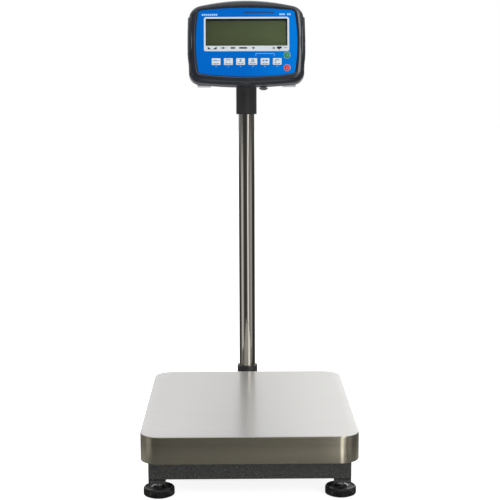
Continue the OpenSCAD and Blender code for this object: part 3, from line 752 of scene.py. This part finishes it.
# The front shell, over the crowned bezel and down the side: (share of the way from the film to the edge, w)
BEZEL = (
    (0.0, 70.6), (0.010, 71.6), (0.03, 72.3), (0.08, 72.95), (0.165, 73.93), (0.175, 74.0), (0.25, 74.0),
    (0.30, 73.87), (0.36, 73.66), (0.42, 73.43), (0.48, 73.17), (0.54, 72.8), (0.61, 72.1), (0.69, 70.9),
    (0.76, 69.4), (0.83, 67.3), (0.89, 64.7), (0.94, 61.6), (0.98, 57.8), (1.0, 53.5), (1.0, 48.0),
    (1.0, 43.0), (0.995, 40.6), (0.97, PARTING),
)
# Its inside: (in from the case's outline, w), then (out from the film's outline, w)
FRONT_INSIDE = ((3.2, PARTING), (3.2, 56), (9, 66.5))
FILM_SEAT = ((-5, 67.8), (-5, 70.6))
# The rear shell, from the parting line back, and its inside from the back forward: (in from the outline, w)
REAR_OUTSIDE = (
    (0.9, PARTING - 0.1), (0.1, 39.5), (0.0, 38.5), (0.0, 33.0), (0.7, 28.0), (2.2, 23.0), (4.6, 18.6),
    (7.6, 15.4), (10.6, 13.7), (13.6, 13.1), (17, 13.0), (40, 13.0), (66, 13.0),
)
REAR_INSIDE = (
    (66, 16.0), (40, 16.0), (15, 16.0), (9, 19.0), (5.2, 25.0), (3.3, 33.0), (3.2, PARTING - 0.1),
)


def make_front_shell(plastic):
    """The front half of the case: a crowned bezel round the film, and its inside."""
    film, edge = film_outline(FILM_GAP), head_outline()
    rings = []
    for u, w in BEZEL:
        between = [(fx + (ex - fx) * u, fv + (ev - fv) * u) for (fx, fv), (ex, ev) in zip(film, edge)]
        rings.append(head_ring(between, w))
    rings += [head_ring(head_outline(inset), w) for inset, w in FRONT_INSIDE]
    rings += [head_ring(film_outline(grow), w) for grow, w in FILM_SEAT]
    vertices, faces = joined_rings(rings, closed=True)
    piece = add_piece("case_front", vertices, faces, plastic, "indicator", ["front_cover"])
    smooth = piece.modifiers.new("smooth", "SUBSURF")
    smooth.levels = smooth.render_levels = 1


def make_rear_shell(plastic):
    """The rear half of the case: two dished skins joined at the rim."""
    outer = [head_ring(head_outline(inset), w) for inset, w in REAR_OUTSIDE]
    inner = [head_ring(head_outline(inset), w) for inset, w in REAR_INSIDE]
    vertices, faces = joined_rings(outer, cap_last=True)
    more, inner_faces = joined_rings(inner, cap_first=True, start=len(vertices))
    count = len(outer[0])
    last = len(vertices) + len(more) - count
    rim = [(k, (k + 1) % count, last + (k + 1) % count, last + k) for k in range(count)]
    add_piece("case_rear", vertices + more, faces + inner_faces + rim, plastic, "indicator", ["rear_cover"])


# A grip's share of the case's straight side, then in millimetres its greatest width over the bezel, how far
# it stands proud, how far its edges are sunk, and the skin under them
GRIP_SPAN, GRIP_WIDTH, GRIP_RISE, GRIP_ROOT, GRIP_SKIN = 0.80, 9.8, 1.9, 0.6, 0.5
# Its swell from the inner edge: two smooth steps, (share of the rise, share of the width it takes)
GRIP_SWELL = ((0.62, 0.36), (0.38, 0.8))
# How much of half its length it takes to rise, at its top and at its lower end
GRIP_TOP_RAMP, GRIP_LOW_RAMP = 0.07, 0.6
# Its cuts: shares of the width over the bezel, and then w down the case's side
GRIP_ACROSS = (0.0, 0.05, 0.1, 0.16, 0.25, 0.38, 0.52, 0.66, 0.8, 0.92, 1.0)
GRIP_SIDE = (53.0, 50.5, 48.0, 46.0, 44.8, 44.0)
# The groove along its inner edge, drawn as a near-black bead of painted shade: its width, the shares of half
# that width where it is cut and by which it lies outward, how far it stands proud at its edges and more in
# its middle, and its depth
GROOVE_WIDTH, GROOVE_ACROSS, GROOVE_OUTWARD = 1.5, (-1, -0.4, 0.4, 1), 0.7
GROOVE_PROUD, GROOVE_CROWN, GROOVE_DEPTH = 0.05, 0.10, 0.6
# The cuts along both: how many, and the shares of a grip's length that they cover
GRIP_ROWS, GRIP_CUT, GROOVE_CUT = 36, 0.999, 0.93
# How far out a grip's cuts follow the bezel, just short of its end
BEZEL_END = 0.9999


def smooth_step(x):
    x = min(1.0, max(0.0, x))
    return x * x * (3 - 2 * x)


def bezel_at(u):
    """The bezel's height and its slope at u, which is less than 1."""
    for (u0, w0), (u1, w1) in zip(BEZEL, BEZEL[1:]):
        if u0 <= u <= u1:
            slope = (w1 - w0) / (u1 - u0)
            return w0 + slope * (u - u0), slope


def side_span(t):
    """Where the film's edge and the case's edge lie at t, from -1 low on the side to 1 high on it."""
    film_v = (FILM_H - FILM_CORNER) * t + FILM_RISE
    film_x = FILM_W + FILM_GAP - FILM_BOW[2] * ((film_v - FILM_RISE) / FILM_H) ** 2
    edge_v = (HEAD_H - HEAD_CORNER) * t
    edge_x = HEAD_W - HEAD_BOW[2 if t > 0 else 3] * (edge_v / HEAD_H) ** 2
    return film_x, film_v, edge_x, edge_v


def grip_start(t, width):
    """The share of the way over a bezel of that width where a grip's curved inner edge lies at t."""
    s = t / GRIP_SPAN
    return 1 - GRIP_WIDTH * (1 - s * s) / width


def grip_section(side, t):
    """One cut through a grip, from its inner edge out over the bezel and back along the case's side."""
    film_x, film_v, edge_x, edge_v = side_span(t)
    s = t / GRIP_SPAN
    width = edge_x - film_x
    start = grip_start(t, width)
    end = smooth_step((1 - s) / GRIP_TOP_RAMP) * smooth_step((1 + s) / GRIP_LOW_RAMP)
    full = (GRIP_RISE + GRIP_ROOT) * end
    over, under = [], []
    for c in GRIP_ACROSS:
        u = start + (1 - start) * c
        w, slope = bezel_at(min(u, BEZEL_END))
        slope /= width
        length = math.hypot(slope, 1)
        swell = sum(share * smooth_step(c / reach) for share, reach in GRIP_SWELL)
        for line, height in ((over, full * swell - GRIP_ROOT), (under, -GRIP_ROOT - GRIP_SKIN)):
            x = film_x + width * u - slope / length * height
            line.append(in_head(side * x, film_v + (edge_v - film_v) * u, w + height / length))
    for k, w in enumerate(GRIP_SIDE):
        fall = smooth_step((len(GRIP_SIDE) - 1 - k) / 3)
        over.append(in_head(side * (edge_x + full * fall - GRIP_ROOT), edge_v, w))
        under.append(in_head(side * (edge_x - GRIP_ROOT - GRIP_SKIN), edge_v, w))
    return over + under[::-1]


def groove_shade_section(side, t):
    """One cut through the groove along a grip's inner edge, drawn as a near-black bead of painted shade just
    proud of the bezel.
    """
    film_x, film_v, edge_x, edge_v = side_span(t)
    s = t / GRIP_SPAN
    width = edge_x - film_x
    start = grip_start(t, width)
    half = GROOVE_WIDTH / 2 / width * math.sqrt(1 - s * s)
    over, under = [], []
    for step in GROOVE_ACROSS:
        u = start + half * (GROOVE_OUTWARD + step)
        w, _ = bezel_at(u)
        x, v = film_x + width * u, film_v + (edge_v - film_v) * u
        over.append(in_head(side * x, v, w + GROOVE_CROWN * (1 - abs(step)) + GROOVE_PROUD))
        under.append(in_head(side * x, v, w - GROOVE_DEPTH))
    return over + under[::-1]


def along_grip(section, side, share):
    """A mesh through cuts over that share of a grip's length, which are closest together at its ends."""
    rows = []
    for k in range(GRIP_ROWS + 1):
        rows.append(section(side, GRIP_SPAN * share * math.sin(math.pi * (k / GRIP_ROWS - 0.5))))
    return joined_rings(rows, cap_first=True, cap_last=True)


def make_grips(plastic):
    """The raised lens-shaped grips beside the bezel, with a step at the top and a soft lower end."""
    for name, side in (("grip_left", -1), ("grip_right", 1)):
        vertices, faces = along_grip(grip_section, side, GRIP_CUT)
        add_piece(name, vertices, faces, plastic, "indicator")


def make_groove_shades(dark):
    """Near-black beads of painted shade along the grooves that set the grips off from the bezel."""
    for name, side in (("grip_groove_shade_left", -1), ("grip_groove_shade_right", 1)):
        vertices, faces = along_grip(groove_shade_section, side, GROOVE_CUT)
        add_piece(name, vertices, faces, dark, "indicator")


def head_frame(name, outer, inner, w0, w1, material, body="indicator"):
    """A flat ring between two outlines of equal length."""
    rings = [head_ring(outer, w0), head_ring(outer, w1), head_ring(inner, w1), head_ring(inner, w0)]
    vertices, faces = joined_rings(rings, closed=True)
    add_piece(name, vertices, faces, material, body, smooth=False)


def polygon_marks(name, shapes, w, material, body="indicator", thick=PRINT_THICK):
    """Several small flat printed marks as one piece. Each shape is a list of (x, v) points."""
    vertices, faces = [], []
    for shape in shapes:
        rings = [head_ring(shape, w), head_ring(shape, w + thick)]
        more, sides = joined_rings(rings, cap_first=True, cap_last=True, start=len(vertices))
        vertices += more
        faces += sides
    add_piece(name, vertices, faces, material, body, smooth=False)


def bar(x, v, w, h):
    return [(x - w / 2, v - h / 2), (x + w / 2, v - h / 2), (x + w / 2, v + h / 2), (x - w / 2, v + h / 2)]


def disc(x, v, r, n=20):
    return [(x + r * math.cos(TAU * k / n), v + r * math.sin(TAU * k / n)) for k in range(n)]


def arc(x, v, r, start, end, n=10):
    angles = [math.radians(start + (end - start) * k / n) for k in range(n + 1)]
    return [(x + r * math.cos(angle), v + r * math.sin(angle)) for angle in angles]


def stroke(points, width):
    """Short bars along a line, for a drawn symbol."""
    shapes = []
    for (x0, v0), (x1, v1) in zip(points, points[1:]):
        dx, dv = x1 - x0, v1 - v0
        length = math.hypot(dx, dv)
        nx, nv = -dv / length * width / 2, dx / length * width / 2
        ex, ev = dx / length * width / 3, dv / length * width / 3
        shapes.append([(x0 + nx - ex, v0 + nv - ev), (x0 - nx - ex, v0 - nv - ev),
                       (x1 - nx + ex, v1 - nv + ev), (x1 + nx + ex, v1 + nv + ev)])
    return shapes


# The white surround's width beside, above and below the display window, and its clearance round the window
SURROUND_SIDE, SURROUND_ABOVE, SURROUND_BELOW, WINDOW_GAP = 3.8, 3.6, 11.4, 0.2
SURROUND_FACE = FILM_FACE + 0.12


def make_display(white, mask):
    """The white surround, and the dark mask round the display with painted shadow at its top and right.
    Gives the middle of the strip below it.
    """
    low, high = head_box("display_window")
    cx, cv, half_w, half_h = middle_and_halves(low, high)
    outer = small_outline(half_w + SURROUND_SIDE, half_h + (SURROUND_ABOVE + SURROUND_BELOW) / 2, radius=4.6)
    outer = moved(outer, cx, cv + (SURROUND_ABOVE - SURROUND_BELOW) / 2)
    inner = moved(small_outline(half_w + WINDOW_GAP, half_h + WINDOW_GAP, radius=1.2), cx, cv)
    head_frame("display_surround", outer, inner, FILM_FACE - 0.05, SURROUND_FACE, white)
    lcd_top = head_box("lcd_panel")[1][2]
    # The mask is partly the display's own dark border and partly painted shadow: its opening sits low and to
    # the left, so it is widest at the top and right
    seen = moved(small_outline(half_w - 1.8, half_h - 2.0, radius=0.8), cx - 0.6, cv - 1.4)
    cover = moved(small_outline(half_w + 2.0, half_h + 2.0, radius=1.0), cx, cv)
    head_frame("display_mask_painted_shadow", cover, seen, lcd_top + 0.05, lcd_top + 0.45, mask)
    return cx, low[1] - WINDOW_GAP - SURROUND_BELOW / 2 + 1.0


# Plain marks in the strip under the display, from its middle: two wedges, a dot between dashes, two bars, a
# cross, two short bars, a bar with a nib over a pointer, and a dot with a dash
STRIP_MARKS = (
    [(-79.5, -2.6), (-72.1, -2.6), (-79.5, 3.0)], [(-69.0, -2.6), (-61.2, -2.6), (-61.2, 3.0)],
    disc(-48, 0.2, 2.0), bar(-51.8, 0.2, 3.2, 1.2), bar(-44.2, 0.2, 3.2, 1.2),
    bar(-28, 0.2, 9, 3.2), bar(-7, 0.2, 16, 3.2),
    bar(14, 0.2, 6.5, 1.7), bar(14, 0.2, 1.7, 4.6),
    bar(55.5, 1.0, 4.0, 1.6), bar(55.5, -1.1, 5.4, 1.2),
    bar(66.5, 0.8, 8.6, 4.4), bar(71.4, 0.8, 1.2, 2.2), [(64.4, -1.4), (68.6, -1.4), (66.5, -4.2)],
    disc(78.6, 0.4, 1.2), bar(81.6, 0.4, 2.4, 0.8),
)

# A plain drawn symbol for each square key, from its middle: an arrow and a dash, a bracket, a zigzag, a
# ring over a bar, two pointers, and an arch with a pointer
KEY_SYMBOLS = (
    stroke([(-6, 0), (-0.4, 0)], 1.2) + [[(-0.6, -2.2), (-0.6, 2.2), (2.4, 0)], bar(5.2, 0, 3.6, 1.2)],
    stroke([(-3.2, -1.6), (-3.2, 2.2), (3.2, 2.2), (3.2, -1.6)], 1.2),
    stroke([(2.6, 2.4), (-2.0, 2.4), (1.2, 0.2), (-2.0, -2.0), (2.6, -2.0)], 1.2),
    stroke(arc(0, 0.9, 2.1, 0, 360), 1.1) + [bar(0, -2.2, 7.6, 1.3)],
    [[(-6, 0), (-1.8, 2.5), (-1.8, -2.5)], [(6, 0), (1.8, -2.5), (1.8, 2.5)], bar(0, 0, 2.8, 1.2)],
    stroke(arc(0, -1.0, 3.3, 0, 180), 1.2) + [[(-5.6, -0.4), (-1.2, -0.4), (-3.3, -3.0)]],
)
# A square key's cap: its corner radius, its soft edge, and how far in front of the key's back it starts
KEY_CORNER, KEY_EDGE, KEY_BACK = 1.2, 0.35, 4.8
# The round keys' domed caps: (in from the edge, above the face). Their marks are a broken ring with a bar,
# and a ring.
ROUND_CAP = ((0.5, -3), (0.5, 0.1), (2.2, 0.35), (4, 0.5))
ROUND_STEPS, RING_WIDTH, RING_DEPTH = 40, 0.55, 3
ON_MARK = stroke(arc(0, 0, 2.2, 125, 415, 14), 0.42) + [bar(0, 1.9, 0.42, 2.4)]
OFF_MARK = stroke(arc(0, 0, 2.2, 0, 360, 18), 0.42)


def make_keycap(name, outline, w0, w1, material, key):
    """A flat cap with a soft front edge, which stands for the key's CAD node."""
    cx = sum(x for x, _ in outline) / len(outline)
    cv = sum(v for _, v in outline) / len(outline)
    soft = KEY_EDGE * 0.3
    rings = []
    for inset, w in ((0.0, w0), (0.0, w1 - KEY_EDGE), (soft, w1 - soft), (KEY_EDGE, w1)):
        ring = []
        for x, v in outline:
            k = 1 - inset / math.hypot(x - cx, v - cv)
            ring.append(in_head(cx + (x - cx) * k, cv + (v - cv) * k, w))
        rings.append(ring)
    vertices, faces = joined_rings(rings, cap_first=True, cap_last=True)
    add_piece(name, vertices, faces, material, key, [key])


def make_square_keys(white, blue, pale):
    """Six white keys, each printed with its symbol and two bars, over a tick on the film."""
    for number, symbol in enumerate(KEY_SYMBOLS, 1):
        key = f"key_{number}"
        low, high = head_box(key)
        cx, cv, half_w, half_h = middle_and_halves(low, high)
        outline = moved(small_outline(half_w, half_h, KEY_CORNER), cx, cv)
        make_keycap(f"keycap_{number}", outline, low[2] + KEY_BACK, high[2], white, key)
        drawn = [moved(shape, cx, cv + 2.0) for shape in symbol]
        drawn += [bar(cx - 3.1, cv - 4.3, 5.0, 1.4), bar(cx + 3.2, cv - 4.3, 5.4, 1.4)]
        polygon_marks(f"keyprint_{number}", drawn, high[2] - 0.01, blue, key, 0.06)
        polygon_marks(f"keytick_{number}", [bar(cx, cv - 10.4, 2.2, 0.9)], FILM_FACE, pale, thick=MARK_THICK)


def make_round_keys(green, red, ring, pale):
    """The round on and off keys: a low domed cap, a pale ring round it and a mark."""
    keys = (("key_on", green, "key_green", ON_MARK), ("key_off", red, "key_red", OFF_MARK))
    for key, color, slot, mark in keys:
        low, high = head_box(key)
        cx, cv, radius, _ = middle_and_halves(low, high)
        face = high[2]
        rings = []
        for inset, lift in ROUND_CAP:
            rings.append(head_ring(disc(cx, cv, radius - inset, ROUND_STEPS), face + lift))
        vertices, faces = joined_rings(rings, cap_first=True, cap_last=True)
        add_piece(key + "_cap", vertices, faces, color, key, [key])
        outer = disc(cx, cv, radius, ROUND_STEPS)
        inner = disc(cx, cv, radius - RING_WIDTH, ROUND_STEPS)
        head_frame(key + "_ring", outer, inner, face - RING_DEPTH, face, ring, key)
        polygon_marks(key + "_print", [moved(shape, cx, cv) for shape in mark], face + 0.46, pale, key, 0.1)


def print_bracket(pale):
    """The thin line over the last two keys that groups them."""
    key_low, key_high = head_box("key_5")
    left, top = key_low[0] - 9.5, key_high[1] + 9.6
    right = head_box("key_6")[0][0] + 3
    line = [(left, top - 5), (left, top), (right, top), (right, top - 5)]
    polygon_marks("key_bracket", stroke(line, 0.55), FILM_FACE, pale)


def print_header(pale, dark):
    """Plain bars in place of the printed names above the display."""
    top = FILM_RISE + FILM_H
    left = [bar(-90 + 4.1 * k, top - 14.5, 3.0, 3.6) for k in range(8)]
    right = [bar(69 + 4.0 * k, top - 13.7, 2.9, 3.8) for k in (0, 1, 2, 4, 5)]
    middle = [bar(-3 + 5.2 * k, top - 9.6, 3.7, 3.2) for k in range(12)]
    polygon_marks("header_pale", left + right, FILM_FACE, pale)
    polygon_marks("header_dark", middle, FILM_FACE, dark)


def make_indicator(plastic, white, blue, pale, mask, green, red, ring):
    """The case, its grips, the display, the keys and all that is printed round them."""
    make_front_shell(plastic)
    make_grips(plastic)
    make_groove_shades(mask)
    make_rear_shell(plastic)
    strip = make_display(white, mask)
    polygon_marks("display_pointers", [moved(shape, *strip) for shape in STRIP_MARKS], SURROUND_FACE, mask,
                  thick=MARK_THICK)
    make_square_keys(white, blue, pale)
    make_round_keys(green, red, ring, pale)
    print_bracket(pale)
    print_header(pale, mask)


# ---------------------------------------------------------------- everything together

def finish_cad_nodes(zinc, black, rubber):
    """A material for each CAD node that stays, and on some of them rounded edges, in millimetres."""
    paint_work = hammertone()
    rounded = (
        (1.6, 3, paint_work, ("side_rails", "end_rails", "center_rail")),
        (1.6, 3, paint_work, ("subframe_crossbar", "subframe_arms")),
        # The foot blocks' paint has painted shade just under their tops, where the rails meet them
        (1.8, 3, hammertone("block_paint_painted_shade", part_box("foot_blocks")[1].z), ("foot_blocks",)),
        (0.8, 2, paint_work, ("column_bracket",)),
        (0.35, 2, zinc, ("foot_locknuts", "cell_bolts", "overload_stops", "bracket_bolts")),
        (0.35, 2, zinc, ("socket_screws", "pivot_bolt", "pivot_nut")),
        (0.4, 2, satin_steel(), ("tilt_bracket", "mount_plate")),
        (0.7, 2, black, ("sleeve", "column_socket")),
        (0.4, 2, rubber, ["foot_pad_" + foot for foot in FEET]),
        (0.5, 2, satin_steel("cell_aluminium", (0.70, 0.71, 0.73), 0.42), ("load_cell",)),
        (1.0, 2, moulded("battery_case", (0.12, 0.14, 0.18), 0.35), ("battery",)),
        (0.8, 2, moulded("foot_grey", (0.42, 0.42, 0.43), 0.5), ("case_feet",)),
        (0.4, 2, moulded("gland_grey", (0.09, 0.09, 0.09), 0.45), ("cable_gland",)),
    )
    for width, segments, material, nodes in rounded:
        for node in nodes:
            soften(node, material, width * MM, segments)
    plain = (
        (zinc, ("cell_spacers", "sleeve_screws", "indicator_screws")),
        (rubber, ("platter_pads", "cable_grommets", "case_gasket", "load_cell_cable")),
        (polished_tube(), ("column",)),
        (satin_steel("level_brass", (0.72, 0.56, 0.24), 0.3), ("bubble_level",)),
        (keypad_film(), ("overlay",)),
        (clear_window(), ("display_window",)),
        (lcd_face(), ("lcd_panel",)),
        (circuit_board(), ("display_board", "main_board")),
        (moulded("component_black", (0.03, 0.03, 0.033), 0.45), ("board_components",)),
    )
    for material, nodes in plain:
        for node in nodes:
            paint(node, material)


add_camera()
SCENE.view_settings.view_transform = "Standard"
add_world()
add_floor()
add_light("overhead", (0.2, -0.2, 2.8), target=(0, 0, 0.2), size=2.6, power=48)
add_light("front_right", (1.4, -2.2, 1.7), target=(0, 0, 0.5), size=1.0, power=7)
ZINC = zinc_plate()
make_platter()
make_feet(moulded("knob_plastic", (0.006, 0.006, 0.006), 0.22, grain=700, depth=0.00002, coat=0.1), ZINC)
make_indicator(
    plastic=moulded("case_plastic", (0.013, 0.016, 0.022), 0.26, grain=1500, depth=0.00002, coat=0.7),
    white=printed("print_white", (0.50, 0.545, 0.57), 0.5, spread=0.03),
    blue=printed("print_blue", (0.03, 0.15, 0.42), 0.45),
    pale=printed("print_pale", (0.30, 0.50, 0.80), 0.45),
    mask=printed("mask_black", (0.006, 0.007, 0.006), 0.5),
    green=key_plastic("key_green", (0.004, 0.19, 0.045)),
    red=key_plastic("key_red", (0.54, 0.018, 0.018)),
    ring=printed("key_ring", (0.48, 0.58, 0.66), 0.4, spread=0.04),
)
finish_cad_nodes(
    zinc=ZINC,
    black=moulded("black_plastic", (0.022, 0.022, 0.024), 0.45, grain=1400, depth=0.00005),
    rubber=moulded("rubber", (0.022, 0.022, 0.022), 0.75, grain=900, depth=0.00008),
)
